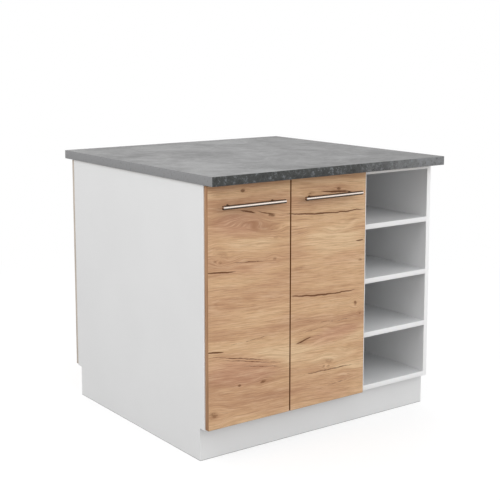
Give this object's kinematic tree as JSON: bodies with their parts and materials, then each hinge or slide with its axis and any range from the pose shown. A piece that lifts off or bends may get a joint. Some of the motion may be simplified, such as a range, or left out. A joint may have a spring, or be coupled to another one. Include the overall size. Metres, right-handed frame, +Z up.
{
  "type": "kitchen island unit",
  "caption": "Kitchen island unit with a hinged-door cupboard, open shelves, a slab worktop and a panelled back.",
  "frame": {"origin": "on the floor in the middle of the unit's footprint", "axes": "+X towards the open shelves, +Y towards the back with the cover panels, +Z up; the doors face -Y"},
  "size_m": [0.91, 0.9, 0.848],
  "materials": {
    "white_board": "matte white melamine-faced chipboard",
    "oak": "golden oak decor with horizontal grain, matt",
    "worktop": "grey stone-look laminate, matt",
    "brushed_steel": "brushed stainless steel",
    "zinc_steel": "nickel-plated steel",
    "hardboard": "white-lacquered hardboard",
    "beech": "fluted beech",
    "plastic": "white nylon",
    "rubber": "soft translucent pad"
  },
  "bodies": {
    "carcass": {"worktop": "worktop", "side_panel_left": "white_board", "side_panel_right": "white_board", "cupboard_side": "white_board", "shelf_unit_side": "white_board", "cupboard_bottom": "white_board", "shelf_unit_bottom": "white_board", "cupboard_front_rail": "white_board", "cupboard_rear_rail": "white_board", "shelf_unit_top": "white_board", "cupboard_shelf": "white_board", "open_shelf_lower": "white_board", "open_shelf_middle": "white_board", "open_shelf_upper": "white_board", "cupboard_back": "hardboard", "shelf_unit_back": "hardboard", "plinth_front": "white_board", "plinth_rear": "white_board", "rear_rail_bottom": "white_board", "rear_rail_middle": "white_board", "rear_rail_top": "white_board", "cover_panel_left": "oak", "cover_panel_middle": "oak", "cover_panel_right": "oak", "panel_clips": "plastic", "hinge_pins_left": "zinc_steel", "hinge_pins_right": "zinc_steel", "hinge_arms_left": "zinc_steel", "hinge_arms_right": "zinc_steel", "hinge_plates_left": "zinc_steel", "hinge_plates_right": "zinc_steel", "hinge_plate_screws_left": "zinc_steel", "hinge_plate_screws_right": "zinc_steel", "shelf_pins": "zinc_steel", "dowels": "beech", "cam_bolts": "zinc_steel", "cam_locks": "zinc_steel", "unit_bolts": "zinc_steel", "worktop_screws": "zinc_steel", "worktop_brackets": "zinc_steel", "bracket_screws": "zinc_steel"},
    "left_door": {"door_left": "oak", "handle_bar_left": "brushed_steel", "handle_posts_left": "brushed_steel", "handle_screws_left": "zinc_steel", "door_bumpers_left": "rubber", "hinge_cups_left": "zinc_steel", "hinge_cup_screws_left": "zinc_steel"},
    "right_door": {"door_right": "oak", "handle_bar_right": "brushed_steel", "handle_posts_right": "brushed_steel", "handle_screws_right": "zinc_steel", "door_bumpers_right": "rubber", "hinge_cups_right": "zinc_steel", "hinge_cup_screws_right": "zinc_steel"},
    "left_hinge_links": {"hinge_links_left": "zinc_steel"},
    "right_hinge_links": {"hinge_links_right": "zinc_steel"}
  },
  "joints": [
    {"name": "left_door_hinge", "type": "hinge", "parent": "carcass", "child": "left_door", "pos_m": [-0.4435, -0.4075, 0.46], "axis": [0, 0, -1], "range_deg": [0, 100]},
    {"name": "right_door_hinge", "type": "hinge", "parent": "carcass", "child": "right_door", "pos_m": [0.1435, -0.4075, 0.46], "axis": [0, 0, 1], "range_deg": [0, 100]},
    {"name": "left_link_pivot", "type": "hinge", "parent": "carcass", "child": "left_hinge_links", "pos_m": [-0.42875, -0.40475, 0.46], "axis": [0, 0, -1], "range_deg": [0, 141]},
    {"name": "right_link_pivot", "type": "hinge", "parent": "carcass", "child": "right_hinge_links", "pos_m": [0.12875, -0.40475, 0.46], "axis": [0, 0, 1], "range_deg": [0, 141]}
  ],
  "couplings": [
    {"joint": "left_link_pivot", "follows": "left_door_hinge", "ratio": 1.4},
    {"joint": "right_link_pivot", "follows": "right_door_hinge", "ratio": 1.4}
  ]
}
